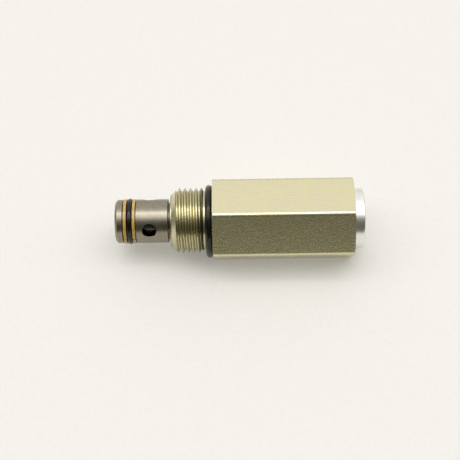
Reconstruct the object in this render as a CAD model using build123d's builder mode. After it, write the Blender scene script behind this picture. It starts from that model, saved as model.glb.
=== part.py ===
from build123d import *
from math import radians, sqrt, tan
import os

# Screw-in hydraulic cartridge valve: a two-port, pilot-operated relief valve with a sliding
# main spool, a spring-loaded pilot poppet and a screw adjuster hidden under the end cap.
#
# The valve's axis is X. The nose points to -X and the end cap to +X. The origin is where the
# axis meets the hexagon's seating face, and two flats of the hexagon face +Z and -Z.
# Lengths are millimetres. A turned outline is a list of (x, radius) corners.

# ---- driving dimensions ----------------------------------------------------------------

INCH = 25.4
FIT_GAP = 0.02
RUNNING_GAP = 0.04
SCREW_GAP = 0.1

# hexagon
HEX_FLATS = 7 / 8 * INCH
HEX_LENGTH = 40.6
HEX_CORNER_R = 1.2
HEX_CORNER_TO_AXIS = HEX_FLATS / sqrt(3)
HEX_CHAMFER_ANGLE = 30
SEAT_CHAMFER_R = 12.25
CAP_END_CHAMFER_R = 12.05

# straight thread that fits the cavity, 3/4-16 UNF; its helix starts part of a turn round from +Z
THREAD_R = 9.47
THREAD_PITCH = INCH / 16
THREAD_ROOT_R = 8.5
THREAD_ROOT_FLAT = 1 / 8
THREAD_FLANK_ANGLE = 30
THREAD_START_X = -13.18  # in the air ahead of the shank, so the groove runs in over its cone
THREAD_TURNS = 7
THREAD_START_TURN = 17
THREAD_OVERCUT = 0.15
SHANK_SEAM_TURN = 90  # keeps the seam of the shank's faces clear of the groove's

# threaded shank and its O-ring seat
SHANK_END_X = -12.1
SHANK_LIP_R = 7.65
SHANK_LIP_ROUND = 0.25
SHANK_LIP_X = -11.7
SHANK_CONE_X = -10.05
SHANK_THREAD_END_X = -2.95
LAND_X = -2.6
LAND_R = 8.45
GLAND_X = -2.1
GLAND_R = 8.15
SEAT_RECESS_R = 10.95
SEAT_RECESS_DEPTH = 0.25
PORT_RING_X = -0.86
PORT_RING_OUTER_R = 10.65
PORT_RING_SECTION_R = 1.03

# bores of the body, from the nose end to the cap end
CAGE_BORE_R = 6.0
SEAT_SHOULDER_X = 4.0
PISTON_BORE_R = 4.75
BUSHING_BORE_X = 28.0
BUSHING_BORE_R = 6.6
CAP_BORE_X = 33.5
CAP_BORE_R = 8.2
MOUTH_CHAMFER = 0.3

# cage: the plain steel nose
NOSE_X = -28.05
NOSE_R = 6.335
NOSE_CHAMFER = 0.6
INLET_R = 3.4
SEAL_GROOVE_FRONT_X = -25.9
SEAL_GROOVE_REAR_X = -22.1
SEAL_GROOVE_R = 4.9
SPOOL_STOP_X = -21.7
SPOOL_BORE_R = 4.6
CAGE_SHOULDER_X = -12.8
CAGE_NECK_R = 5.25
CAGE_SPIGOT_X = -11.6
CAGE_REAR_X = -3.0
PORT_X = -18.2
PORT_R = 2.05
PORT_COUNT = 3
PORT_FIRST_ANGLE = 153
PORT_DEBURR = 0.12
EDGE_BREAK = 0.12
DRAIN_COUNT = 3
DRAIN_WIDTH = 1.2
DRAIN_DEPTH = 0.75

# nose seals
NOSE_RING_X = -23.93
NOSE_RING_OUTER_R = 6.65
BACKUP_RING_WIDTH = 0.78
BACKUP_RING_OUTER_R = 6.52
BACKUP_RING_CUT = 0.25

# main spool and what it carries
SPOOL_R = SPOOL_BORE_R - RUNNING_GAP
SPOOL_STROKE = 4.0
SPOOL_END_GAP = 0.1
SPOOL_CHAMFER = 0.3
BALANCE_GROOVE_COUNT = 3
BALANCE_GROOVE_PITCH = 1.5
BALANCE_GROOVE_WIDTH = 0.4
BALANCE_GROOVE_DEPTH = 0.25
SPOOL_SPRING_BORE_X = -16.9
SPOOL_SPRING_BORE_R = 3.1
SCREEN_POCKET_R = 2.7
SCREEN_FACE_X = -21.3
SCREEN_SEAT_X = -20.9
SCREEN_SEAT_R = 2.3
ORIFICE_FACE_X = -20.4
ORIFICE_END_X = -17.7
ORIFICE_PLUG_R = 1.5
PASSAGE_R = 0.9
ORIFICE_R = 0.35
ORIFICE_LEAD_R = 0.7
ORIFICE_SLOT = 0.7
SCREEN_HOLE_R = 0.22
SCREEN_HOLE_PITCH = 0.75
SCREEN_HOLE_ROWS = 5
SCREEN_CLIP_GAP = 1.35

# main spring
MAIN_SPRING_MEAN_R = 2.4
MAIN_SPRING_WIRE_R = 0.4
MAIN_SPRING_TURNS = 9
MAIN_SPRING_END_X = -4.0

# pilot seat
PILOT_SPIGOT_X = -6.5
PILOT_SPIGOT_R = 4.56
PILOT_RECESS_R = 3.0
PILOT_HOLE_R = 0.9
PILOT_EDGE_X = 1.5
PILOT_CHAMBER_R = 3.2
PILOT_GROOVE_FRONT_X = -5.7
PILOT_GROOVE_REAR_X = -4.5
PILOT_GROOVE_R = 3.8
DRAIN_GROOVE_FRONT_X = 1.9
DRAIN_GROOVE_REAR_X = 3.3
DRAIN_HOLE_R = 0.5

# pilot poppet and spring
POPPET_HALF_ANGLE = 30
POPPET_TIP_R = 0.3
POPPET_CONE_R = 1.9
POPPET_FLANGE_R = 3.0
POPPET_FLANGE_X = 4.2
POPPET_PIN_X = 7.5
SPRING_PIN_R = 1.7
SPRING_PIN_CHAMFER = 0.3
PILOT_SPRING_MEAN_R = 2.5
PILOT_SPRING_WIRE_R = 0.55
PILOT_SPRING_TURNS = 8

# adjuster piston and its seals
PISTON_PIN_X = 16.5
PISTON_FACE_X = 19.0
PISTON_REAR_X = 27.0
PISTON_R = PISTON_BORE_R - RUNNING_GAP
PISTON_GROOVE_FRONT_X = 21.4
PISTON_GROOVE_REAR_X = 24.0
PISTON_GROOVE_R = 3.5
PISTON_RING_SECTION_R = 0.59
PISTON_BACKUP_WIDTH = 1.2
SCREW_SOCKET_X = 26.0
SCREW_SOCKET_R = 2.6

# adjuster bushing, screw, washer and nut
BUSHING_HEAD_R = 7.6
BUSHING_HEAD_X = 35.5
BUSHING_SLOT_COUNT = 4
BUSHING_SLOT_WIDTH = 2.0
BUSHING_SLOT_DEPTH = 1.1
BUSHING_SLOT_INNER_R = 6.0
SCREW_R = 3.0
SCREW_PITCH = 1.0
SCREW_ROOT_R = 2.4
SCREW_TIP_R = 2.2
SCREW_THREAD_X = 27.4
SCREW_END_X = 40.2
SCREW_HEX_FLATS = 3.0
SCREW_HEX_DEPTH = 3.0
WASHER_REAR_X = 36.3
WASHER_R = 5.0
WASHER_SPLIT = 0.8
NUT_REAR_X = 39.5
NUT_FLATS = 10.0
NUT_CHAMFER_R = 5.1

# end cap
CAP_R = 8.75
CAP_FACE_X = 43.55
CAP_EDGE_ROUND = 0.45
CAP_SKIRT_X = 37.5
CAP_SKIRT_R = CAP_BORE_R - 3 * FIT_GAP
CAP_POCKET_R = 6.5
CAP_POCKET_X = 42.2
CAP_GROOVE_FRONT_X = 38.6
CAP_GROOVE_REAR_X = 39.8
CAP_GROOVE_R = 7.4

# ---- shared shapes ---------------------------------------------------------------------


def turned(*corners):
    """Half-section in the XZ plane with these (x, radius) corners, ready to revolve about X."""
    with BuildSketch(Plane.XZ) as half:
        with BuildLine():
            Polyline(*corners, close=True)
        make_face()
    return half.sketch


def ring_section(x, radius, section_r):
    """Round section of an O-ring whose centre circle has this radius and lies at this x."""
    with BuildSketch(Plane.XZ) as circle:
        with Locations((x, radius)):
            Circle(section_r)
    return circle.sketch


def band(x_low, x_high, r_inner, r_outer):
    """Rectangular half-section between two radii and two stations."""
    return turned((x_low, r_inner), (x_low, r_outer), (x_high, r_outer), (x_high, r_inner))


def hexagon(flats, corner_r=0):
    """Hexagon about the axis with two flats square to Z, in the plane x = 0."""
    with BuildSketch(Plane.YZ) as outline:
        RegularPolygon(flats / 2, 6, major_radius=False)
        if corner_r:
            fillet(outline.vertices(), corner_r)
    return outline.sketch


def outward(angle):
    """Unit vector square to the axis, at an angle from +Y towards +Z."""
    return Vector(0, 1, 0).rotate(Axis.X, angle)


def port_rim(edge):
    """Whether an edge is the outer rim of one of the cage's port holes."""
    box = edge.bounding_box()
    spans_port = abs(box.max.X - box.min.X - 2 * PORT_R) < FIT_GAP
    point = edge @ 0
    return spans_port and abs(sqrt(point.Y**2 + point.Z**2) - NOSE_R) < FIT_GAP


def chamfer_rise(r_inner, r_outer):
    """Axial length of a hexagon's end chamfer between two radii."""
    return (r_outer - r_inner) * tan(radians(HEX_CHAMFER_ANGLE))


def coil(x_start, x_end, mean_r, wire_r, turns):
    """Right-hand wire coil between two faces square to the axis."""
    length = x_end - x_start - 2 * (wire_r + FIT_GAP)
    with BuildPart() as wire:
        with BuildLine() as path:
            Helix(length / turns, length, mean_r, (x_start + wire_r + FIT_GAP, 0, 0), (1, 0, 0))
        with BuildSketch(Plane(origin=path.line @ 0, z_dir=path.line % 0)):
            Circle(wire_r)
        sweep(path=path.line, is_frenet=True)
    return wire.part


def thread_groove():
    """Right-hand V groove of the shank's thread, open past the crests."""
    depth = THREAD_R + THREAD_OVERCUT - THREAD_ROOT_R
    half_root = THREAD_PITCH * THREAD_ROOT_FLAT / 2
    half_mouth = half_root + depth * tan(radians(THREAD_FLANK_ANGLE))
    with BuildPart() as groove:
        with BuildLine() as path:
            Helix(
                pitch=THREAD_PITCH,
                height=THREAD_PITCH * THREAD_TURNS,
                radius=THREAD_ROOT_R,
                center=(THREAD_START_X, 0, 0),
                direction=(1, 0, 0),
            )
        start = path.line @ 0
        radial = Vector(0, start.Y, start.Z).normalized()
        with BuildSketch(Plane(origin=start, x_dir=radial, z_dir=Vector(1, 0, 0).cross(radial))):
            with BuildLine():
                Polyline(
                    (0, -half_root),
                    (0, half_root),
                    (depth, half_mouth),
                    (depth, -half_mouth),
                    close=True,
                )
            make_face()
        sweep(path=path.line, is_frenet=True)
    return groove.part.rotate(Axis.X, THREAD_START_TURN)


def thread_rings(x_start, x_end, pitch, root_r, major_r):
    """Corners of the V rings that stand for a thread between two stations."""
    half_root = pitch * THREAD_ROOT_FLAT / 2
    half_mouth = half_root + (major_r - root_r) * tan(radians(THREAD_FLANK_ANGLE))
    corners = []
    for turn in range(int((x_end - x_start) / pitch)):
        middle = x_start + (turn + 0.5) * pitch
        corners += [
            (middle - half_mouth, major_r),
            (middle - half_root, root_r),
            (middle + half_root, root_r),
            (middle + half_mouth, major_r),
        ]
    return corners


def finish(builder, name):
    """Label a finished piece and write it as parts/name.step."""
    builder.part.label = name
    export_step(builder.part, f"parts/{name}.step")


os.makedirs("parts", exist_ok=True)

# ---- body ------------------------------------------------------------------------------

seat_setback = chamfer_rise(SEAT_CHAMFER_R, HEX_CORNER_TO_AXIS)
cap_setback = chamfer_rise(CAP_END_CHAMFER_R, HEX_CORNER_TO_AXIS)

with BuildPart() as hex_body:
    extrude(hexagon(HEX_FLATS, HEX_CORNER_R), amount=HEX_LENGTH, dir=(1, 0, 0))
    # both ends are turned to a 30 degree chamfer
    revolve(
        turned(
            (0, 0),
            (0, SEAT_CHAMFER_R),
            (seat_setback, HEX_CORNER_TO_AXIS),
            (HEX_LENGTH - cap_setback, HEX_CORNER_TO_AXIS),
            (HEX_LENGTH, CAP_END_CHAMFER_R),
            (HEX_LENGTH, 0),
        ),
        axis=Axis.X,
        mode=Mode.INTERSECT,
    )
    # recess that locates the port O-ring on the seating face
    revolve(band(0, SEAT_RECESS_DEPTH, GLAND_R, SEAT_RECESS_R), axis=Axis.X, mode=Mode.SUBTRACT)
    # threaded shank: rounded lip, lead cone, thread, plain land and the gland of the port O-ring
    revolve(
        turned(
            (SHANK_END_X, 0),
            (SHANK_END_X, SHANK_LIP_R - SHANK_LIP_ROUND),
            (SHANK_END_X + SHANK_LIP_ROUND / 2, SHANK_LIP_R),
            (SHANK_LIP_X, SHANK_LIP_R),
            (SHANK_CONE_X, THREAD_R),
            (SHANK_THREAD_END_X, THREAD_R),
            (LAND_X, LAND_R),
            (GLAND_X, LAND_R),
            (GLAND_X, GLAND_R),
            (HEX_LENGTH / 2, GLAND_R),
            (HEX_LENGTH / 2, 0),
        ).rotate(Axis.X, SHANK_SEAM_TURN),
        axis=Axis.X,
    )
    # stepped bore: cage, pilot chamber, bushing thread, cap socket
    revolve(
        turned(
            (SHANK_END_X, 0),
            (SHANK_END_X, CAGE_BORE_R),
            (SEAT_SHOULDER_X, CAGE_BORE_R),
            (SEAT_SHOULDER_X, PISTON_BORE_R),
            (BUSHING_BORE_X, PISTON_BORE_R),
            (BUSHING_BORE_X, BUSHING_BORE_R),
            (CAP_BORE_X, BUSHING_BORE_R),
            (CAP_BORE_X, CAP_BORE_R),
            (HEX_LENGTH - MOUTH_CHAMFER, CAP_BORE_R),
            (HEX_LENGTH, CAP_BORE_R + MOUTH_CHAMFER),
            (HEX_LENGTH, 0),
        ),
        axis=Axis.X,
        mode=Mode.SUBTRACT,
    )
    add(thread_groove(), mode=Mode.SUBTRACT)
finish(hex_body, "hex_body")

# ---- cage ------------------------------------------------------------------------------

with BuildPart() as cage:
    revolve(
        turned(
            (NOSE_X, INLET_R + MOUTH_CHAMFER),
            (NOSE_X, NOSE_R - NOSE_CHAMFER),
            (NOSE_X + NOSE_CHAMFER, NOSE_R),
            (SEAL_GROOVE_FRONT_X - EDGE_BREAK, NOSE_R),
            (SEAL_GROOVE_FRONT_X, NOSE_R - EDGE_BREAK),
            (SEAL_GROOVE_FRONT_X, SEAL_GROOVE_R),
            (SEAL_GROOVE_REAR_X, SEAL_GROOVE_R),
            (SEAL_GROOVE_REAR_X, NOSE_R - EDGE_BREAK),
            (SEAL_GROOVE_REAR_X + EDGE_BREAK, NOSE_R),
            (CAGE_SHOULDER_X - EDGE_BREAK, NOSE_R),
            (CAGE_SHOULDER_X, NOSE_R - EDGE_BREAK),
            (CAGE_SHOULDER_X, CAGE_NECK_R),
            (CAGE_SPIGOT_X, CAGE_NECK_R),
            (CAGE_SPIGOT_X, CAGE_BORE_R - FIT_GAP),
            (CAGE_REAR_X, CAGE_BORE_R - FIT_GAP),
            (CAGE_REAR_X, SPOOL_BORE_R),
            (SPOOL_STOP_X, SPOOL_BORE_R),
            (SPOOL_STOP_X, INLET_R),
            (NOSE_X + MOUTH_CHAMFER, INLET_R),
        ),
        axis=Axis.X,
    )
    # outlet holes through one side of the wall each
    for index in range(PORT_COUNT):
        direction = outward(PORT_FIRST_ANGLE + index * 360 / PORT_COUNT)
        with BuildSketch(Plane(origin=(PORT_X, 0, 0), z_dir=direction)):
            Circle(PORT_R)
        extrude(amount=2 * NOSE_R, mode=Mode.SUBTRACT)
    rims = cage.edges().filter_by(port_rim)
    chamfer(rims, PORT_DEBURR)
    # pilot drain slots along the hidden part of the cage
    with BuildSketch(Plane.YZ.offset(CAGE_SPIGOT_X)):
        with PolarLocations(CAGE_BORE_R, DRAIN_COUNT):
            Rectangle(2 * DRAIN_DEPTH, DRAIN_WIDTH)
    extrude(amount=CAGE_REAR_X - CAGE_SPIGOT_X, mode=Mode.SUBTRACT)
finish(cage, "cage")

# ---- nose seals ------------------------------------------------------------------------


def backup_ring(x_low):
    """Flat seal backing ring with a scarf cut, for the seal groove on the nose."""
    with BuildPart() as ring:
        revolve(
            band(
                x_low, x_low + BACKUP_RING_WIDTH, SEAL_GROOVE_R + FIT_GAP, BACKUP_RING_OUTER_R
            ),
            axis=Axis.X,
        )
        with BuildSketch(Plane.YZ.offset(x_low)):
            with Locations((-BACKUP_RING_OUTER_R, 0)):
                Rectangle(2 * BACKUP_RING_OUTER_R, BACKUP_RING_CUT)
        extrude(amount=BACKUP_RING_WIDTH, mode=Mode.SUBTRACT)
    return ring


nose_section_r = (NOSE_RING_OUTER_R - SEAL_GROOVE_R - FIT_GAP) / 2
ring_reach = nose_section_r + FIT_GAP

nose_backup_ring_front = backup_ring(NOSE_RING_X - ring_reach - BACKUP_RING_WIDTH)
finish(nose_backup_ring_front, "nose_backup_ring_front")

nose_backup_ring_rear = backup_ring(NOSE_RING_X + ring_reach)
finish(nose_backup_ring_rear, "nose_backup_ring_rear")

with BuildPart() as nose_o_ring:
    revolve(
        ring_section(NOSE_RING_X, NOSE_RING_OUTER_R - nose_section_r, nose_section_r),
        axis=Axis.X,
    )
finish(nose_o_ring, "nose_o_ring")

# ---- port seal -------------------------------------------------------------------------

with BuildPart() as port_o_ring:
    revolve(
        ring_section(PORT_RING_X, PORT_RING_OUTER_R - PORT_RING_SECTION_R, PORT_RING_SECTION_R),
        axis=Axis.X,
    )
finish(port_o_ring, "port_o_ring")

# ---- main spool ------------------------------------------------------------------------

# the spool opens until it almost reaches the pilot seat
spool_rear_x = PILOT_SPIGOT_X - SPOOL_END_GAP - SPOOL_STROKE

with BuildPart() as main_spool:
    revolve(
        turned(
            (SPOOL_STOP_X, SCREEN_POCKET_R),
            (SPOOL_STOP_X, SPOOL_R - SPOOL_CHAMFER),
            (SPOOL_STOP_X + SPOOL_CHAMFER, SPOOL_R),
            (spool_rear_x - SPOOL_CHAMFER, SPOOL_R),
            (spool_rear_x, SPOOL_R - SPOOL_CHAMFER),
            (spool_rear_x, SPOOL_SPRING_BORE_R),
            (SPOOL_SPRING_BORE_X, SPOOL_SPRING_BORE_R),
            (SPOOL_SPRING_BORE_X, PASSAGE_R),
            (ORIFICE_END_X, PASSAGE_R),
            (ORIFICE_END_X, ORIFICE_PLUG_R),
            (ORIFICE_FACE_X, ORIFICE_PLUG_R),
            (ORIFICE_FACE_X, SCREEN_SEAT_R),
            (SCREEN_SEAT_X, SCREEN_SEAT_R),
            (SCREEN_SEAT_X, SCREEN_POCKET_R),
        ),
        axis=Axis.X,
    )
    # oil grooves that centre the spool in its bore
    for index in range(BALANCE_GROOVE_COUNT):
        groove_x = spool_rear_x - (index + 1) * BALANCE_GROOVE_PITCH
        revolve(
            band(
                groove_x - BALANCE_GROOVE_WIDTH, groove_x, SPOOL_R - BALANCE_GROOVE_DEPTH, SPOOL_BORE_R
            ),
            axis=Axis.X,
            mode=Mode.SUBTRACT,
        )
finish(main_spool, "main_spool")

with BuildPart() as filter_screen:
    with BuildSketch(Plane.YZ.offset(SCREEN_FACE_X)):
        Circle(SCREEN_POCKET_R - FIT_GAP)
        with HexLocations(SCREEN_HOLE_PITCH / 2, SCREEN_HOLE_ROWS, SCREEN_HOLE_ROWS):
            Circle(SCREEN_HOLE_R, mode=Mode.SUBTRACT)
    extrude(amount=SCREEN_SEAT_X - SCREEN_FACE_X)
finish(filter_screen, "filter_screen")

with BuildPart() as screen_clip:
    revolve(
        band(SPOOL_STOP_X + FIT_GAP, SCREEN_FACE_X, SCREEN_SEAT_R, SCREEN_POCKET_R - FIT_GAP),
        axis=Axis.X,
    )
    # the gap that lets the clip spring into the pocket
    with BuildSketch(Plane.YZ.offset(SPOOL_STOP_X)):
        with Locations((0, SCREEN_POCKET_R)):
            Rectangle(SCREEN_CLIP_GAP, SCREEN_POCKET_R)
    extrude(amount=SCREEN_SEAT_X - SPOOL_STOP_X, mode=Mode.SUBTRACT)
finish(screen_clip, "screen_clip")

with BuildPart() as orifice_plug:
    revolve(
        turned(
            (ORIFICE_FACE_X, ORIFICE_LEAD_R),
            (ORIFICE_FACE_X, ORIFICE_PLUG_R - FIT_GAP),
            (ORIFICE_END_X, ORIFICE_PLUG_R - FIT_GAP),
            (ORIFICE_END_X, ORIFICE_R),
            ((ORIFICE_FACE_X + ORIFICE_END_X) / 2, ORIFICE_R),
            ((ORIFICE_FACE_X + ORIFICE_END_X) / 2, ORIFICE_LEAD_R),
        ),
        axis=Axis.X,
    )
    # screwdriver slot
    with BuildSketch(Plane.YZ.offset(ORIFICE_FACE_X)):
        Rectangle(2 * ORIFICE_PLUG_R, ORIFICE_SLOT)
    extrude(amount=ORIFICE_SLOT, mode=Mode.SUBTRACT)
finish(orifice_plug, "orifice_plug")

with BuildPart() as main_spring:
    add(
        coil(
            SPOOL_SPRING_BORE_X,
            MAIN_SPRING_END_X,
            MAIN_SPRING_MEAN_R,
            MAIN_SPRING_WIRE_R,
            MAIN_SPRING_TURNS,
        )
    )
finish(main_spring, "main_spring")

# ---- pilot stage -----------------------------------------------------------------------

with BuildPart() as pilot_seat:
    revolve(
        turned(
            (PILOT_SPIGOT_X, PILOT_RECESS_R),
            (PILOT_SPIGOT_X, PILOT_SPIGOT_R),
            (PILOT_GROOVE_FRONT_X, PILOT_SPIGOT_R),
            (PILOT_GROOVE_FRONT_X, PILOT_GROOVE_R),
            (PILOT_GROOVE_REAR_X, PILOT_GROOVE_R),
            (PILOT_GROOVE_REAR_X, PILOT_SPIGOT_R),
            (CAGE_REAR_X, PILOT_SPIGOT_R),
            (CAGE_REAR_X, CAGE_BORE_R - FIT_GAP),
            (DRAIN_GROOVE_FRONT_X, CAGE_BORE_R - FIT_GAP),
            (DRAIN_GROOVE_FRONT_X, CAGE_BORE_R - DRAIN_DEPTH),
            (DRAIN_GROOVE_REAR_X, CAGE_BORE_R - DRAIN_DEPTH),
            (DRAIN_GROOVE_REAR_X, CAGE_BORE_R - FIT_GAP),
            (SEAT_SHOULDER_X, CAGE_BORE_R - FIT_GAP),
            (SEAT_SHOULDER_X, PILOT_CHAMBER_R),
            (PILOT_EDGE_X, PILOT_CHAMBER_R),
            (PILOT_EDGE_X, PILOT_HOLE_R),
            (MAIN_SPRING_END_X, PILOT_HOLE_R),
            (MAIN_SPRING_END_X, PILOT_RECESS_R),
        ),
        axis=Axis.X,
    )
    # radial drain holes from the poppet chamber to the outer groove
    for index in range(DRAIN_COUNT):
        direction = outward(index * 360 / DRAIN_COUNT)
        drain_x = (DRAIN_GROOVE_FRONT_X + DRAIN_GROOVE_REAR_X) / 2
        with BuildSketch(Plane(origin=(drain_x, 0, 0), z_dir=direction)):
            Circle(DRAIN_HOLE_R)
        extrude(amount=2 * CAGE_BORE_R, mode=Mode.SUBTRACT)
    # notches that carry on into the cage's drain slots
    with BuildSketch(Plane.YZ.offset(CAGE_REAR_X)):
        with PolarLocations(CAGE_BORE_R, DRAIN_COUNT):
            Rectangle(2 * DRAIN_DEPTH, DRAIN_WIDTH)
    extrude(amount=DRAIN_GROOVE_FRONT_X - CAGE_REAR_X, mode=Mode.SUBTRACT)
finish(pilot_seat, "pilot_seat")

pilot_section_r = (SPOOL_BORE_R - PILOT_GROOVE_R) / 2 - FIT_GAP

with BuildPart() as pilot_seat_o_ring:
    revolve(
        ring_section(
            (PILOT_GROOVE_FRONT_X + PILOT_GROOVE_REAR_X) / 2,
            (SPOOL_BORE_R + PILOT_GROOVE_R) / 2,
            pilot_section_r,
        ),
        axis=Axis.X,
    )
finish(pilot_seat_o_ring, "pilot_seat_o_ring")

cone_slope = tan(radians(POPPET_HALF_ANGLE))
poppet_apex_x = PILOT_EDGE_X - PILOT_HOLE_R / cone_slope + FIT_GAP

with BuildPart() as pilot_poppet:
    revolve(
        turned(
            (poppet_apex_x + POPPET_TIP_R / cone_slope, 0),
            (poppet_apex_x + POPPET_TIP_R / cone_slope, POPPET_TIP_R),
            (poppet_apex_x + POPPET_CONE_R / cone_slope, POPPET_CONE_R),
            (poppet_apex_x + POPPET_CONE_R / cone_slope, POPPET_FLANGE_R),
            (POPPET_FLANGE_X, POPPET_FLANGE_R),
            (POPPET_FLANGE_X, SPRING_PIN_R),
            (POPPET_PIN_X - SPRING_PIN_CHAMFER, SPRING_PIN_R),
            (POPPET_PIN_X, SPRING_PIN_R - SPRING_PIN_CHAMFER),
            (POPPET_PIN_X, 0),
        ),
        axis=Axis.X,
    )
finish(pilot_poppet, "pilot_poppet")

with BuildPart() as pilot_spring:
    add(
        coil(
            POPPET_FLANGE_X,
            PISTON_FACE_X,
            PILOT_SPRING_MEAN_R,
            PILOT_SPRING_WIRE_R,
            PILOT_SPRING_TURNS,
        )
    )
finish(pilot_spring, "pilot_spring")

# ---- adjuster --------------------------------------------------------------------------

with BuildPart() as adjuster_piston:
    revolve(
        turned(
            (PISTON_PIN_X, 0),
            (PISTON_PIN_X, SPRING_PIN_R - SPRING_PIN_CHAMFER),
            (PISTON_PIN_X + SPRING_PIN_CHAMFER, SPRING_PIN_R),
            (PISTON_FACE_X, SPRING_PIN_R),
            (PISTON_FACE_X, PISTON_R),
            (PISTON_GROOVE_FRONT_X, PISTON_R),
            (PISTON_GROOVE_FRONT_X, PISTON_GROOVE_R),
            (PISTON_GROOVE_REAR_X, PISTON_GROOVE_R),
            (PISTON_GROOVE_REAR_X, PISTON_R),
            (PISTON_REAR_X, PISTON_R),
            (PISTON_REAR_X, SCREW_SOCKET_R),
            (SCREW_SOCKET_X, SCREW_SOCKET_R),
            (SCREW_SOCKET_X, 0),
        ),
        axis=Axis.X,
    )
finish(adjuster_piston, "adjuster_piston")

with BuildPart() as adjuster_o_ring:
    revolve(
        ring_section(
            PISTON_GROOVE_FRONT_X + FIT_GAP + PISTON_RING_SECTION_R,
            (PISTON_R + PISTON_GROOVE_R) / 2,
            PISTON_RING_SECTION_R,
        ),
        axis=Axis.X,
    )
finish(adjuster_o_ring, "adjuster_o_ring")

with BuildPart() as adjuster_backup_ring:
    revolve(
        band(
            PISTON_GROOVE_REAR_X - FIT_GAP - PISTON_BACKUP_WIDTH,
            PISTON_GROOVE_REAR_X - FIT_GAP,
            PISTON_GROOVE_R + FIT_GAP,
            PISTON_R,
        ),
        axis=Axis.X,
    )
finish(adjuster_backup_ring, "adjuster_backup_ring")

with BuildPart() as adjuster_bushing:
    revolve(
        turned(
            (BUSHING_BORE_X + FIT_GAP, SCREW_R + SCREW_GAP),
            (BUSHING_BORE_X + FIT_GAP, BUSHING_BORE_R - MOUTH_CHAMFER),
            (BUSHING_BORE_X + MOUTH_CHAMFER, BUSHING_BORE_R - FIT_GAP),
            (CAP_BORE_X, BUSHING_BORE_R - FIT_GAP),
            (CAP_BORE_X, BUSHING_HEAD_R),
            (BUSHING_HEAD_X - MOUTH_CHAMFER, BUSHING_HEAD_R),
            (BUSHING_HEAD_X, BUSHING_HEAD_R - MOUTH_CHAMFER),
            (BUSHING_HEAD_X, SCREW_R + SCREW_GAP),
        ),
        axis=Axis.X,
    )
    # castellations for a pin spanner
    with BuildSketch(Plane.YZ.offset(BUSHING_HEAD_X - BUSHING_SLOT_DEPTH)):
        with PolarLocations(BUSHING_SLOT_INNER_R, BUSHING_SLOT_COUNT):
            Rectangle(BUSHING_HEAD_R, BUSHING_SLOT_WIDTH, align=(Align.MIN, Align.CENTER))
    extrude(amount=BUSHING_SLOT_DEPTH, mode=Mode.SUBTRACT)
finish(adjuster_bushing, "adjuster_bushing")

screw_first_crest_x = SCREW_THREAD_X + SCREW_R - SCREW_TIP_R
screw_last_crest_x = SCREW_END_X - (SCREW_R - SCREW_ROOT_R)

with BuildPart() as adjusting_screw:
    revolve(
        turned(
            (SCREW_SOCKET_X + FIT_GAP, 0),
            (SCREW_SOCKET_X + FIT_GAP, SCREW_TIP_R),
            (SCREW_THREAD_X, SCREW_TIP_R),
            (screw_first_crest_x, SCREW_R),
            *thread_rings(screw_first_crest_x, screw_last_crest_x, SCREW_PITCH, SCREW_ROOT_R, SCREW_R),
            (screw_last_crest_x, SCREW_R),
            (SCREW_END_X, SCREW_ROOT_R),
            (SCREW_END_X, 0),
        ),
        axis=Axis.X,
    )
    extrude(
        hexagon(SCREW_HEX_FLATS).moved(Location((SCREW_END_X - SCREW_HEX_DEPTH, 0, 0))),
        amount=SCREW_HEX_DEPTH,
        dir=(1, 0, 0),
        mode=Mode.SUBTRACT,
    )
finish(adjusting_screw, "adjusting_screw")

with BuildPart() as lock_washer:
    revolve(
        band(BUSHING_HEAD_X, WASHER_REAR_X, SCREW_R + 2 * SCREW_GAP, WASHER_R), axis=Axis.X
    )
    with BuildSketch(Plane.YZ.offset(BUSHING_HEAD_X)):
        with Locations((0, WASHER_R)):
            Rectangle(WASHER_SPLIT, WASHER_R)
    extrude(amount=WASHER_REAR_X - BUSHING_HEAD_X, mode=Mode.SUBTRACT)
finish(lock_washer, "lock_washer")

nut_corner_r = NUT_FLATS / sqrt(3)
nut_setback = chamfer_rise(NUT_CHAMFER_R, nut_corner_r)

with BuildPart() as lock_nut:
    extrude(
        hexagon(NUT_FLATS).moved(Location((WASHER_REAR_X, 0, 0))),
        amount=NUT_REAR_X - WASHER_REAR_X,
        dir=(1, 0, 0),
    )
    revolve(
        turned(
            (WASHER_REAR_X, SCREW_R + SCREW_GAP),
            (WASHER_REAR_X, NUT_CHAMFER_R),
            (WASHER_REAR_X + nut_setback, nut_corner_r),
            (NUT_REAR_X - nut_setback, nut_corner_r),
            (NUT_REAR_X, NUT_CHAMFER_R),
            (NUT_REAR_X, SCREW_R + SCREW_GAP),
        ),
        axis=Axis.X,
        mode=Mode.INTERSECT,
    )
finish(lock_nut, "lock_nut")

# ---- end cap ---------------------------------------------------------------------------

with BuildPart() as end_cap:
    with BuildSketch(Plane.XZ):
        with BuildLine():
            Line((HEX_LENGTH, CAP_R), (CAP_FACE_X - CAP_EDGE_ROUND, CAP_R))
            RadiusArc(
                (CAP_FACE_X - CAP_EDGE_ROUND, CAP_R), (CAP_FACE_X, CAP_R - CAP_EDGE_ROUND), CAP_EDGE_ROUND
            )
            Polyline(
                (CAP_FACE_X, CAP_R - CAP_EDGE_ROUND),
                (CAP_FACE_X, 0),
                (CAP_POCKET_X, 0),
                (CAP_POCKET_X, CAP_POCKET_R),
                (CAP_SKIRT_X, CAP_POCKET_R),
                (CAP_SKIRT_X, CAP_SKIRT_R - MOUTH_CHAMFER),
                (CAP_SKIRT_X + MOUTH_CHAMFER, CAP_SKIRT_R),
                (CAP_GROOVE_FRONT_X, CAP_SKIRT_R),
                (CAP_GROOVE_FRONT_X, CAP_GROOVE_R),
                (CAP_GROOVE_REAR_X, CAP_GROOVE_R),
                (CAP_GROOVE_REAR_X, CAP_SKIRT_R),
                (HEX_LENGTH, CAP_SKIRT_R),
                (HEX_LENGTH, CAP_R),
            )
        make_face()
    revolve(axis=Axis.X)
finish(end_cap, "end_cap")

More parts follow.
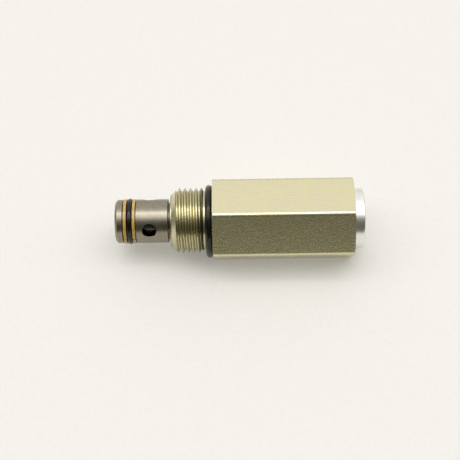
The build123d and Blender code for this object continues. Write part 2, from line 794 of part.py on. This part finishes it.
cap_section_r = (CAP_BORE_R - CAP_GROOVE_R) / 2 - FIT_GAP

with BuildPart() as cap_o_ring:
    revolve(
        ring_section(
            (CAP_GROOVE_FRONT_X + CAP_GROOVE_REAR_X) / 2,
            (CAP_BORE_R + CAP_GROOVE_R) / 2,
            cap_section_r,
        ),
        axis=Axis.X,
    )
finish(cap_o_ring, "cap_o_ring")
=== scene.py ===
import math

import bpy
from mathutils import Matrix, Vector


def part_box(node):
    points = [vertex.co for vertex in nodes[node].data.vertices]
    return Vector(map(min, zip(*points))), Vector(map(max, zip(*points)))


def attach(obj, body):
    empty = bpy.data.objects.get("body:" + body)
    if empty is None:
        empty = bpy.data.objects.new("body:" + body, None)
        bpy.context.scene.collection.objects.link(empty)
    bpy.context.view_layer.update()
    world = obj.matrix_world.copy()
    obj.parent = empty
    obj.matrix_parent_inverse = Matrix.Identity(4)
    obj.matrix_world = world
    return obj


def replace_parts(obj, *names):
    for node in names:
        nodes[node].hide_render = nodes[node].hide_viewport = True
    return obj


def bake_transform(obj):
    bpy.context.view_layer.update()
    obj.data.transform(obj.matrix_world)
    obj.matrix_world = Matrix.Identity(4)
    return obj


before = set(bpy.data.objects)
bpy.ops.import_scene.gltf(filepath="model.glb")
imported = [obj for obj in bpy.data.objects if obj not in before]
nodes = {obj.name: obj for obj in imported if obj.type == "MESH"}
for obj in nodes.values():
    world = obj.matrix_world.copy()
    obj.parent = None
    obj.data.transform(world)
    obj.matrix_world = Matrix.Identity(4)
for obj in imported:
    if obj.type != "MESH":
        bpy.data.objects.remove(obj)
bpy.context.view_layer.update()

MM = 0.001

# ---- places taken from the frame -------------------------------------------------------

FLOOR_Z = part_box("hex_body")[0].z
SCREW_LOW, SCREW_HIGH = (corner.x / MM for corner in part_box("adjusting_screw"))
SHANK_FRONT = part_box("hex_body")[0].x
AXIS = Vector((1, 0, 0))

# ---- camera ----------------------------------------------------------------------------

CAMERA_DISTANCE = 319 * MM
CAMERA_ELEVATION = math.radians(53.8)
CAMERA_ROLL = math.radians(0.87)
CAMERA_FOOT_X = 7.7 * MM
AIM_LEFT = 2.741 * MM
AIM_DOWN = 2.964 * MM
LENS_MM = 85.65
SENSOR_MM = 36


def add_camera():
    """Camera above the front of the valve, aimed a little past the axis and rolled a little."""
    outward = Vector((0, -math.cos(CAMERA_ELEVATION), math.sin(CAMERA_ELEVATION)))
    upward = Vector((0, math.sin(CAMERA_ELEVATION), math.cos(CAMERA_ELEVATION)))
    place = Vector((CAMERA_FOOT_X, 0, 0)) + CAMERA_DISTANCE * outward
    target = Vector((CAMERA_FOOT_X - AIM_LEFT, 0, 0)) - AIM_DOWN * upward
    back = (place - target).normalized()
    level = upward.cross(back).normalized()
    up = back.cross(level)
    right = math.cos(CAMERA_ROLL) * level - math.sin(CAMERA_ROLL) * up
    up = back.cross(right)
    data = bpy.data.cameras.new("camera")
    data.lens = LENS_MM
    data.sensor_width = SENSOR_MM
    data.clip_start = 10 * MM
    camera = bpy.data.objects.new("camera", data)
    turn = Matrix((right, up, back)).transposed().to_4x4()
    camera.matrix_world = Matrix.Translation(place) @ turn
    bpy.context.scene.collection.objects.link(camera)
    bpy.context.scene.camera = camera


# ---- light -----------------------------------------------------------------------------

# brightness and share of blue against the angle up from the front horizon, over the top, to the back
STUDIO_STOPS = [
    (0, 0.15, 0.70),
    (20, 0.10, 0.80),
    (40, 0.16, 0.90),
    (50, 0.28, 0.93),
    (58, 0.50, 0.95),
    (66, 1.05, 0.97),
    (73, 2.0, 1.0),
    (80, 2.5, 1.03),
    (91, 2.7, 1.03),
    (97, 4.6, 1.03),
    (104, 2.3, 1.03),
    (109, 1.5, 1.0),
    (114, 1.12, 0.99),
    (128, 1.03, 0.99),
    (150, 0.98, 0.97),
    (180, 0.85, 0.94),
]
BACKDROP = (0.905, 0.882, 0.82)
STUDIO_PEAK = max(level for degrees, level, blue in STUDIO_STOPS)
SIDE_START = 0.55
SIDE_FULL = 0.95
SIDE_LEVEL = 0.38


def add_world():
    """Studio: a broad soft light overhead, a dark front, dimmer ends and a pale backdrop."""
    world = bpy.data.worlds.new("studio")
    bpy.context.scene.world = world
    world.use_nodes = True
    tree = world.node_tree
    link = tree.links.new
    background = tree.nodes["Background"]
    split = tree.nodes.new("ShaderNodeSeparateXYZ")
    link(tree.nodes.new("ShaderNodeTexCoord").outputs["Generated"], split.inputs[0])
    forward = tree.nodes.new("ShaderNodeMath")
    forward.operation = "MULTIPLY"
    forward.inputs[1].default_value = -1
    link(split.outputs["Y"], forward.inputs[0])
    angle = tree.nodes.new("ShaderNodeMath")
    angle.operation = "ARCTAN2"
    link(split.outputs["Z"], angle.inputs[0])
    link(forward.outputs[0], angle.inputs[1])
    share = tree.nodes.new("ShaderNodeMath")
    share.operation = "DIVIDE"
    share.inputs[1].default_value = math.pi
    link(angle.outputs[0], share.inputs[0])
    ramp = tree.nodes.new("ShaderNodeValToRGB")
    ramp.color_ramp.interpolation = "EASE"
    stops = ramp.color_ramp.elements
    while len(stops) < len(STUDIO_STOPS):
        stops.new(0.5)
    for stop, (degrees, level, blue) in zip(stops, STUDIO_STOPS):
        stop.position = degrees / 180
        stop.color = [channel * level / STUDIO_PEAK for channel in (1, 1, blue)] + [1]
    link(share.outputs[0], ramp.inputs[0])
    side = tree.nodes.new("ShaderNodeMath")
    side.operation = "ABSOLUTE"
    link(split.outputs["X"], side.inputs[0])
    dimming = tree.nodes.new("ShaderNodeMapRange")
    dimming.inputs["From Min"].default_value = SIDE_START
    dimming.inputs["From Max"].default_value = SIDE_FULL
    dimming.inputs["To Min"].default_value = 1.0
    dimming.inputs["To Max"].default_value = SIDE_LEVEL
    link(side.outputs[0], dimming.inputs["Value"])
    dimmed = tree.nodes.new("ShaderNodeVectorMath")
    dimmed.operation = "SCALE"
    link(ramp.outputs[0], dimmed.inputs[0])
    link(dimming.outputs[0], dimmed.inputs["Scale"])
    path = tree.nodes.new("ShaderNodeLightPath")
    mix = tree.nodes.new("ShaderNodeMix")
    mix.data_type = "RGBA"
    link(path.outputs["Is Camera Ray"], mix.inputs["Factor"])
    link(dimmed.outputs[0], mix.inputs["A"])
    mix.inputs["B"].default_value = [channel / STUDIO_PEAK for channel in BACKDROP] + [1]
    link(mix.outputs["Result"], background.inputs["Color"])
    background.inputs["Strength"].default_value = STUDIO_PEAK


# ---- material tools --------------------------------------------------------------------


class Shader:
    """A principled material with short ways to add procedural detail in the valve's own frame."""

    def __init__(self, name, metallic=0.0, roughness=0.4):
        self.material = bpy.data.materials.new(name)
        self.material.use_nodes = True
        self.tree = self.material.node_tree
        self.surface = self.tree.nodes["Principled BSDF"]
        self.surface.inputs["Metallic"].default_value = metallic
        self.surface.inputs["Roughness"].default_value = roughness
        self.coords = self.add("TexCoord").outputs["Object"]
        self.height = None

    def add(self, kind):
        return self.tree.nodes.new("ShaderNode" + kind)

    def link(self, source, target):
        self.tree.links.new(source, target)

    def math(self, operation, first, second=None):
        """One math node; each operand is a socket or a number."""
        node = self.add("Math")
        node.operation = operation
        for socket, value in zip(node.inputs, (first, second)):
            if isinstance(value, bpy.types.NodeSocket):
                self.link(value, socket)
            elif value is not None:
                socket.default_value = value
        return node.outputs[0]

    def radius(self):
        """Distance from the valve's axis."""
        split = self.add("SeparateXYZ")
        self.link(self.coords, split.inputs[0])
        y_squared = self.math("MULTIPLY", split.outputs["Y"], split.outputs["Y"])
        z_squared = self.math("MULTIPLY", split.outputs["Z"], split.outputs["Z"])
        return self.math("SQRT", self.math("ADD", y_squared, z_squared))

    def station(self):
        """Place along the valve's axis."""
        split = self.add("SeparateXYZ")
        self.link(self.coords, split.inputs[0])
        return split.outputs["X"]

    def noise(self, size, detail=2.0, roughness=0.5):
        """Cloudy noise whose features are about this size in metres."""
        node = self.add("TexNoise")
        node.inputs["Scale"].default_value = 1 / size
        node.inputs["Detail"].default_value = detail
        node.inputs["Roughness"].default_value = roughness
        self.link(self.coords, node.inputs["Vector"])
        return node.outputs[0]

    def turning_marks(self, pitch, detail=3.0):
        """Uneven lines round the axis on cylinders, and rings on faces, as a lathe tool leaves."""
        node = self.add("TexNoise")
        node.noise_dimensions = "1D"
        node.inputs["Scale"].default_value = 1 / pitch
        node.inputs["Detail"].default_value = detail
        node.inputs["Roughness"].default_value = 0.6
        self.link(self.math("ADD", self.station(), self.radius()), node.inputs["W"])
        return node.outputs[0]

    def ramp(self, source, stops):
        """Colours or grey levels against a value from 0 to 1."""
        node = self.add("ValToRGB")
        elements = node.color_ramp.elements
        while len(elements) < len(stops):
            elements.new(0.5)
        for element, (place, colour) in zip(elements, stops):
            element.position = place
            element.color = (*colour, 1) if isinstance(colour, tuple) else (colour, colour, colour, 1)
        self.link(source, node.inputs[0])
        return node.outputs[0]

    def mix(self, factor, first, second, blend="MIX"):
        """Mixes two colours; each is a socket or an RGB tuple."""
        node = self.add("Mix")
        node.data_type = "RGBA"
        node.blend_type = blend
        if isinstance(factor, bpy.types.NodeSocket):
            self.link(factor, node.inputs["Factor"])
        else:
            node.inputs["Factor"].default_value = factor
        for name, value in (("A", first), ("B", second)):
            if isinstance(value, bpy.types.NodeSocket):
                self.link(value, node.inputs[name])
            else:
                node.inputs[name].default_value = (*value, 1)
        return node.outputs["Result"]

    def span(self, source, low, high, smooth=True):
        """0 on the low side, 1 on the high side and a ramp between them; low may lie above high."""
        node = self.add("MapRange")
        node.interpolation_type = "SMOOTHSTEP" if smooth else "LINEAR"
        node.inputs["From Min"].default_value = low
        node.inputs["From Max"].default_value = high
        self.link(source, node.inputs["Value"])
        return node.outputs[0]

    def vary(self, source, low, high):
        """Rescales a 0 to 1 value to another range."""
        return self.math("ADD", self.math("MULTIPLY", source, high - low), low)

    def colour(self, source):
        self.link(source, self.surface.inputs["Base Color"])

    def roughness(self, source, low, high):
        self.link(self.vary(source, low, high), self.surface.inputs["Roughness"])

    def bump(self, source, depth, strength=1.0):
        """Adds relief of this depth in metres on top of the relief already there."""
        node = self.add("Bump")
        node.inputs["Distance"].default_value = depth
        node.inputs["Strength"].default_value = strength
        self.link(source, node.inputs["Height"])
        if self.height is not None:
            self.link(self.height, node.inputs["Normal"])
        self.height = node.outputs[0]
        self.link(self.height, self.surface.inputs["Normal"])


# ---- materials -------------------------------------------------------------------------


THREAD_FRONT = -10.9 * MM
THREAD_FRONT_FADE = 0.5 * MM
SHANK_REAR = -0.3 * MM
SHANK_REAR_FADE = 0.3 * MM
GLAND_FRONT = -2.1 * MM
THREAD_ROOT_R = 8.45 * MM
THREAD_CREST_R = 9.4 * MM


def plated_steel():
    """Pale olive-gold zinc plate with a fine mottled grain, glossier and darker in the thread."""
    shader = Shader("plated_steel", metallic=1.0)
    grain = shader.noise(0.5 * MM, detail=3, roughness=0.6)
    cloud = shader.noise(4.0 * MM, detail=2)
    base = shader.ramp(grain, [(0.30, (0.685, 0.628, 0.410)), (0.72, (0.695, 0.640, 0.425))])
    wash = shader.ramp(cloud, [(0.35, (0.96, 0.97, 1.0)), (0.65, (1.0, 0.99, 0.95))])
    tinted = shader.mix(1.0, base, wash, "MULTIPLY")
    depth = shader.ramp(
        shader.span(shader.radius(), THREAD_ROOT_R, THREAD_CREST_R),
        [(0.0, (0.85, 0.86, 0.84)), (0.26, (0.83, 0.84, 0.84)), (0.7, (0.79, 0.80, 0.83))],
    )
    # painted shade: darker on the front lip beside the cage, in the thread's run-out and a little on
    # the land before the seal
    painted_joint_shade = shader.ramp(
        shader.span(shader.station(), SHANK_FRONT, GLAND_FRONT, smooth=False),
        [
            (0.03, 0.64),
            (0.05, 1.0),
            (0.85, 1.0),
            (0.87, 0.4),
            (0.915, 0.4),
            (0.935, 0.85),
            (0.98, 0.85),
            (1.0, 1.0),
        ],
    )
    from_front = shader.span(shader.station(), THREAD_FRONT, THREAD_FRONT + THREAD_FRONT_FADE)
    to_rear = shader.span(shader.station(), SHANK_REAR, SHANK_REAR - SHANK_REAR_FADE)
    threaded = shader.math("MULTIPLY", from_front, to_rear)
    coloured = shader.mix(threaded, tinted, shader.mix(1.0, tinted, depth, "MULTIPLY"))
    shader.colour(shader.mix(1.0, coloured, painted_joint_shade, "MULTIPLY"))
    polish = shader.math("ADD", grain, shader.math("MULTIPLY", threaded, 0.6))
    shader.roughness(polish, 0.30, 0.24)
    shader.bump(grain, 0.056 * MM, 0.7)
    return shader.material


NOSE_SKIN_R = 6.3 * MM
NOSE_SKIN_DEPTH = 0.08 * MM
PORT_STATION = -18.2 * MM
PORT_REACH = 2.6 * MM
NECK_STATION = -12.86 * MM


def turned_steel():
    """Bright steel with fine lathe lines and faint pits, with painted shade in its ports and its
    neck.
    """
    shader = Shader("turned_steel", metallic=1.0)
    marks = shader.turning_marks(0.16 * MM)
    stain = shader.noise(1.6 * MM, detail=4, roughness=0.6)
    base = shader.ramp(marks, [(0.30, (0.262, 0.236, 0.180)), (0.70, (0.328, 0.300, 0.236))])
    wash = shader.ramp(stain, [(0.35, (0.90, 0.89, 0.87)), (0.60, (1.0, 1.0, 1.0))])
    washed = shader.mix(1.0, base, wash, "MULTIPLY")
    outside = shader.span(shader.radius(), NOSE_SKIN_R - NOSE_SKIN_DEPTH, NOSE_SKIN_R)
    from_ports = shader.math("ABSOLUTE", shader.math("SUBTRACT", shader.station(), PORT_STATION))
    drilled = shader.math("LESS_THAN", from_ports, PORT_REACH)
    necked = shader.math("GREATER_THAN", shader.station(), NECK_STATION)
    hidden = shader.math("MAXIMUM", drilled, shader.math("MULTIPLY", necked, 0.6))
    # painted shade: near-black inside the ports and, at 0.6, on the neck next to the body, under the
    # outer skin
    painted_port_shade = shader.math("MULTIPLY", shader.math("SUBTRACT", 1.0, outside), hidden)
    shader.colour(shader.mix(painted_port_shade, washed, (0.030, 0.027, 0.020)))
    shader.roughness(stain, 0.25, 0.30)
    shader.bump(marks, 0.004 * MM, 0.8)
    pitting = shader.noise(0.45 * MM, detail=3, roughness=0.6)
    shader.bump(pitting, 0.012 * MM, 0.7)
    return shader.material


def ground_steel():
    """Ground and hardened steel of the moving inner parts, painted near-black as the shade inside the
    cage.
    """
    shader = Shader("ground_steel", metallic=1.0)
    marks = shader.turning_marks(0.07 * MM)
    haze = shader.noise(0.9 * MM, detail=3)
    # painted shade: a near-black base that stands for the shade inside the cage
    painted_inner_shade = shader.ramp(haze, [(0.35, (0.066, 0.060, 0.046)), (0.65, (0.092, 0.085, 0.066))])
    shader.colour(painted_inner_shade)
    shader.roughness(haze, 0.18, 0.28)
    shader.bump(marks, 0.002 * MM, 0.8)
    return shader.material


def spring_steel():
    """Drawn wire with a darker scale in patches."""
    shader = Shader("spring_steel", metallic=1.0)
    scale = shader.noise(0.35 * MM, detail=3)
    shader.colour(shader.ramp(scale, [(0.35, (0.26, 0.26, 0.27)), (0.65, (0.42, 0.42, 0.43))]))
    shader.roughness(scale, 0.26, 0.42)
    shader.bump(scale, 0.003 * MM, 0.6)
    return shader.material


def zinc_hardware():
    """Clear zinc plate on the bushing, the washer and the nut."""
    shader = Shader("zinc_hardware", metallic=1.0)
    grain = shader.noise(0.25 * MM, detail=3, roughness=0.6)
    shader.colour(shader.ramp(grain, [(0.3, (0.46, 0.47, 0.49)), (0.7, (0.62, 0.63, 0.66))]))
    shader.roughness(grain, 0.26, 0.38)
    shader.bump(grain, 0.005 * MM, 0.5)
    return shader.material


OXIDE_WEAR_R = 2.86 * MM
OXIDE_CREST_R = 3.0 * MM


def black_oxide_steel():
    """Oiled black oxide on the set screw, thin on its crests."""
    shader = Shader("black_oxide_steel", metallic=1.0)
    grain = shader.noise(0.3 * MM, detail=3)
    crest = shader.span(shader.radius(), OXIDE_WEAR_R, OXIDE_CREST_R)
    black = shader.ramp(grain, [(0.3, (0.030, 0.031, 0.034)), (0.7, (0.070, 0.072, 0.078))])
    worn = shader.math("MULTIPLY", crest, 0.6)
    shader.colour(shader.mix(worn, black, (0.22, 0.22, 0.22)))
    shader.roughness(grain, 0.30, 0.45)
    shader.bump(grain, 0.003 * MM, 0.6)
    return shader.material


def brass():
    """Brass of the orifice plug and the filter screen."""
    shader = Shader("brass", metallic=1.0)
    tarnish = shader.noise(0.6 * MM, detail=4)
    shader.colour(shader.ramp(tarnish, [(0.35, (0.42, 0.27, 0.09)), (0.65, (0.62, 0.44, 0.18))]))
    shader.roughness(tarnish, 0.38, 0.24)
    shader.bump(shader.turning_marks(0.1 * MM), 0.002 * MM, 0.7)
    return shader.material


def turned_aluminium():
    """Bright turned aluminium with rings on its end face."""
    shader = Shader("turned_aluminium", metallic=1.0)
    marks = shader.turning_marks(0.13 * MM)
    haze = shader.noise(2.2 * MM, detail=3)
    base = shader.ramp(marks, [(0.3, (0.81, 0.80, 0.755)), (0.7, (0.885, 0.875, 0.825))])
    wash = shader.ramp(haze, [(0.35, (0.95, 0.96, 0.97)), (0.65, (1.0, 1.0, 1.0))])
    shader.colour(shader.mix(1.0, base, wash, "MULTIPLY"))
    shader.roughness(haze, 0.20, 0.30)
    shader.bump(marks, 0.003 * MM, 0.8)
    return shader.material


def seal_rubber():
    """Black nitrile rubber with a faint bloom and a thin film of oil."""
    shader = Shader("seal_rubber")
    bloom = shader.noise(0.8 * MM, detail=4, roughness=0.6)
    skin = shader.noise(0.12 * MM, detail=2)
    black = shader.ramp(bloom, [(0.35, (0.0020, 0.0018, 0.0014)), (0.7, (0.0055, 0.005, 0.0038))])
    shader.colour(black)
    shader.roughness(bloom, 0.08, 0.14)
    shader.bump(skin, 0.003 * MM, 0.3)
    shader.surface.inputs["Specular IOR Level"].default_value = 0.42
    shader.surface.inputs["Specular Tint"].default_value = (1.0, 0.95, 0.84, 1)
    return shader.material


RING_SIDE_R = 6.0 * MM
RING_RIM_R = 6.45 * MM


def amber_ring():
    """Amber backup ring, waxy and slightly translucent, with painted shade down its sides in the
    groove.
    """
    shader = Shader("amber_ring")
    cloud = shader.noise(1.1 * MM, detail=3)
    grain = shader.noise(0.15 * MM, detail=2)
    outward = shader.span(shader.radius(), RING_SIDE_R, RING_RIM_R)
    # painted shade: the ring's sides darken towards the groove floor
    painted_groove_shade = shader.ramp(outward, [(0.0, 0.12), (1.0, 1.0)])
    amber = shader.ramp(cloud, [(0.3, (0.43, 0.255, 0.038)), (0.7, (0.56, 0.35, 0.065))])
    shader.colour(shader.mix(1.0, amber, painted_groove_shade, "MULTIPLY"))
    shader.roughness(cloud, 0.12, 0.18)
    shader.surface.inputs["Specular IOR Level"].default_value = 0.9
    shader.bump(grain, 0.003 * MM, 0.4)
    shader.surface.inputs["Subsurface Weight"].default_value = 0.15
    shader.surface.inputs["Subsurface Radius"].default_value = (1.0, 0.45, 0.12)
    shader.surface.inputs["Subsurface Scale"].default_value = 0.4 * MM
    return shader.material


def floor_surface():
    """Pale matt sheet, lit faintly from below so that shadows on it stay light."""
    shader = Shader("floor_sheet", roughness=0.9)
    fibre = shader.noise(1.2 * MM, detail=4)
    shader.colour(shader.ramp(fibre, [(0.3, (0.515, 0.505, 0.475)), (0.7, (0.535, 0.525, 0.495))]))
    shader.surface.inputs["Specular IOR Level"].default_value = 0.1
    shader.surface.inputs["Emission Color"].default_value = (1.0, 0.965, 0.88, 1)
    shader.surface.inputs["Emission Strength"].default_value = 0.25
    return shader.material


# ---- floor and paint -------------------------------------------------------------------


def paint(material, *names):
    """Puts one material on CAD nodes."""
    for name in names:
        mesh = nodes[name].data
        mesh.materials.clear()
        mesh.materials.append(material)


FLOOR_BACK = 2500 * MM
FLOOR_SIDE = 140 * MM
FLOOR_FRONT = 190 * MM


def add_floor():
    """Pale sheet that the valve lies on; it runs far back and ends just outside the picture."""
    corners = [
        (-FLOOR_SIDE, -FLOOR_FRONT, FLOOR_Z),
        (FLOOR_SIDE, -FLOOR_FRONT, FLOOR_Z),
        (FLOOR_BACK, FLOOR_BACK, FLOOR_Z),
        (-FLOOR_BACK, FLOOR_BACK, FLOOR_Z),
    ]
    add_piece("floor", corners, [(0, 1, 2, 3)], floor_surface())


# ---- pieces shaped more finely than the CAD --------------------------------------------


def add_piece(name, points, faces, material):
    """One smooth mesh piece from points in metres and faces of their numbers."""
    mesh = bpy.data.meshes.new(name)
    mesh.from_pydata(points, [], faces)
    mesh.shade_smooth()
    mesh.materials.append(material)
    piece = bpy.data.objects.new(name, mesh)
    bpy.context.scene.collection.objects.link(piece)
    return piece


def grid_faces(rows, columns, closed):
    """Faces of a tube of rings; closed joins the last ring to the first, else the ends are capped."""
    faces = []
    for row in range(rows if closed else rows - 1):
        following = (row + 1) % rows
        for column in range(columns):
            beside = (column + 1) % columns
            faces.append(
                (
                    row * columns + column,
                    row * columns + beside,
                    following * columns + beside,
                    following * columns + column,
                )
            )
    if not closed:
        faces.append(tuple(reversed(range(columns))))
        faces.append(tuple(range((rows - 1) * columns, rows * columns)))
    return faces


SEAL_STATION = -0.98
SEAL_OUTER_R = 10.65
SEAL_SECTION_R = 1.04
SEAL_SAG = 0.36
SEAL_LEAN = 0.05
SAG_DIRECTION = Vector((0, -0.81, -0.59))
RING_STEPS = 240
RING_SECTION_STEPS = 40
FLASH_HEIGHT = 0.035
FLASH_WIDTH = 0.09


def add_port_ring(material):
    """O-ring with its mould line, loose in its gland, so that it hangs to the front and leans."""
    middle_r = SEAL_OUTER_R - SEAL_SECTION_R
    points = []
    for step in range(RING_STEPS):
        around = math.tau * step / RING_STEPS
        outward = Vector((0, math.cos(around), math.sin(around)))
        station = SEAL_STATION + SEAL_LEAN * outward.dot(SAG_DIRECTION)
        for part in range(RING_SECTION_STEPS):
            turn = math.tau * part / RING_SECTION_STEPS
            flash = FLASH_HEIGHT * math.exp(-((SEAL_SECTION_R * math.sin(turn) / FLASH_WIDTH) ** 2))
            reach = SEAL_SECTION_R + flash
            place = outward * (middle_r + reach * math.cos(turn))
            place += AXIS * (station + reach * math.sin(turn)) + SAG_DIRECTION * SEAL_SAG
            points.append(place * MM)
    faces = grid_faces(RING_STEPS, RING_SECTION_STEPS, True)
    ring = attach(add_piece("port_seal", points, faces, material), "valve_body")
    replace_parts(ring, "port_o_ring")


COIL_STEPS = 40
WIRE_STEPS = 16
DEAD_TURNS = 0.8
RISE_TURNS = 0.5
COIL_GAP = 0.03
GROUND_TIP = 0.4


def coil_rings(low, high, mean_r, wire_r, turns):
    """Rings of points along a compression spring whose closed end coils are ground flat."""
    steps = int(COIL_STEPS * turns)
    closed_pitch = 2 * wire_r + COIL_GAP

    def openness(turn):
        share = (min(turn, turns - turn) - DEAD_TURNS) / RISE_TURNS
        share = min(max(share, 0), 1)
        return share * share * (3 - 2 * share)

    opening = [openness((step + 0.5) * turns / steps) for step in range(steps)]
    span = high - low + 2 * GROUND_TIP * wire_r
    extra = (span - closed_pitch * turns) / sum(opening)
    station = low - GROUND_TIP * wire_r
    rings = []
    for step in range(steps + 1):
        around = math.tau * turns * step / steps
        outward = Vector((0, math.cos(around), math.sin(around)))
        ring = []
        for part in range(WIRE_STEPS):
            turn = math.tau * part / WIRE_STEPS
            place = outward * (mean_r + wire_r * math.cos(turn))
            place.x = min(max(station + wire_r * math.sin(turn), low), high)
            ring.append(place * MM)
        rings.append(ring)
        if step < steps:
            station += closed_pitch * turns / steps + extra * opening[step]
    return rings


def add_coil(name, rings, material):
    """Piece of spring wire through these rings."""
    points = [point for ring in rings for point in ring]
    coil = add_piece(name, points, grid_faces(len(rings), WIRE_STEPS, False), material)
    return coil


SCREW_COLUMNS = 72
SCREW_ROWS = 300
SCREW_R = 3.0
SCREW_ROOT_R = 2.4
SCREW_TIP_R = 2.2
SCREW_PITCH = 1.0
SCREW_THREAD_LOW = 27.4
SOCKET_FLATS = 3.0
SOCKET_DEPTH = 3.0
SOCKET_POINT = 0.4
CENTRE_R = 0.05
ROOT_HALF_FLAT = 0.0625
FLANK = math.tan(math.radians(30))
SCREW_EDGE_ANGLE = math.radians(35)


def screw_thread_r(station, around):
    """Radius of the right-hand thread, with its ends run out at 45 degrees."""
    phase = (station / SCREW_PITCH - around / math.tau) % 1
    past_root = abs(phase - 0.5) * SCREW_PITCH - ROOT_HALF_FLAT
    thread = SCREW_ROOT_R + max(past_root, 0) / FLANK
    lead = SCREW_TIP_R + station - SCREW_THREAD_LOW
    run_out = SCREW_ROOT_R + SCREW_HIGH - station
    return min(thread, SCREW_R, lead, run_out)


def socket_r(around):
    """Radius of the hexagon socket at an angle round the axis."""
    return SOCKET_FLATS / 2 / math.cos(around % (math.pi / 3) - math.pi / 6)


def screw_row(station, reach):
    """Points round the screw at one station; reach gives their radius from the angle."""
    row = []
    for column in range(SCREW_COLUMNS):
        around = math.tau * column / SCREW_COLUMNS
        outward = Vector((0, math.cos(around), math.sin(around)))
        row.append((AXIS * station + outward * reach(around)) * MM)
    return row


def add_screw(material):
    """Set screw with its helical thread and hexagon socket."""
    socket_floor = SCREW_HIGH - SOCKET_DEPTH
    rows = [screw_row(SCREW_LOW, lambda around: CENTRE_R)]
    rows.append(screw_row(SCREW_LOW, lambda around: SCREW_TIP_R))
    for step in range(SCREW_ROWS + 1):
        station = SCREW_THREAD_LOW + (SCREW_HIGH - SCREW_THREAD_LOW) * step / SCREW_ROWS
        rows.append(screw_row(station, lambda around: screw_thread_r(station, around)))
    rows.append(screw_row(SCREW_HIGH, socket_r))
    rows.append(screw_row(socket_floor, socket_r))
    rows.append(screw_row(socket_floor - SOCKET_POINT, lambda around: CENTRE_R))
    points = [point for row in rows for point in row]
    screw = add_piece("set_screw", points, grid_faces(len(rows), SCREW_COLUMNS, False), material)
    screw.data.set_sharp_from_angle(angle=SCREW_EDGE_ANGLE)
    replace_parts(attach(screw, "screw"), "adjusting_screw")


# stations of the springs' seats, and the station where the pilot spring stands still
MAIN_SPRING_FRONT = -16.9
MAIN_SPRING_REAR = -4.0
PILOT_SPRING_FRONT = 4.2
PILOT_SPRING_STILL = 9.5
PILOT_SPRING_REAR = 19.0


def stretch(coil):
    """Bakes the coil's placement into its mesh."""
    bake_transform(coil)


def add_main_spring(material):
    """Return spring of the spool, drawn at one length."""
    rings = coil_rings(MAIN_SPRING_FRONT, MAIN_SPRING_REAR, mean_r=2.4, wire_r=0.4, turns=9)
    coil = add_coil("main_coil", rings, material)
    stretch(coil)
    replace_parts(coil, "main_spring")


def add_pilot_spring(material):
    """Pilot spring in two pieces, front and rear, cut at the station where it stands still."""
    rings = coil_rings(PILOT_SPRING_FRONT, PILOT_SPRING_REAR, mean_r=2.5, wire_r=0.55, turns=8)
    cut = next(n for n, ring in enumerate(rings) if ring[0].x > PILOT_SPRING_STILL * MM)
    front = add_coil("pilot_coil_front", rings[: cut + 1], material)
    stretch(front)
    rear = add_coil("pilot_coil_rear", rings[cut:], material)
    stretch(rear)
    for part in (front, rear):
        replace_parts(part, "pilot_spring")


# ---- scene -----------------------------------------------------------------------------

bpy.context.scene.view_settings.view_transform = "Standard"
add_camera()
add_world()
add_floor()

paint(plated_steel(), "hex_body")
paint(turned_steel(), "cage")
paint(ground_steel(), "main_spool", "pilot_seat", "pilot_poppet", "adjuster_piston")
wire = spring_steel()
paint(wire, "main_spring", "pilot_spring", "screen_clip")
paint(zinc_hardware(), "adjuster_bushing", "lock_washer", "lock_nut")
black_oxide = black_oxide_steel()
paint(black_oxide, "adjusting_screw")
paint(brass(), "orifice_plug", "filter_screen")
paint(turned_aluminium(), "end_cap")
rubber = seal_rubber()
paint(rubber, "nose_o_ring", "port_o_ring", "pilot_seat_o_ring", "adjuster_o_ring", "cap_o_ring")
paint(amber_ring(), "nose_backup_ring_front", "nose_backup_ring_rear", "adjuster_backup_ring")
add_port_ring(rubber)
add_main_spring(wire)
add_pilot_spring(wire)
add_screw(black_oxide)
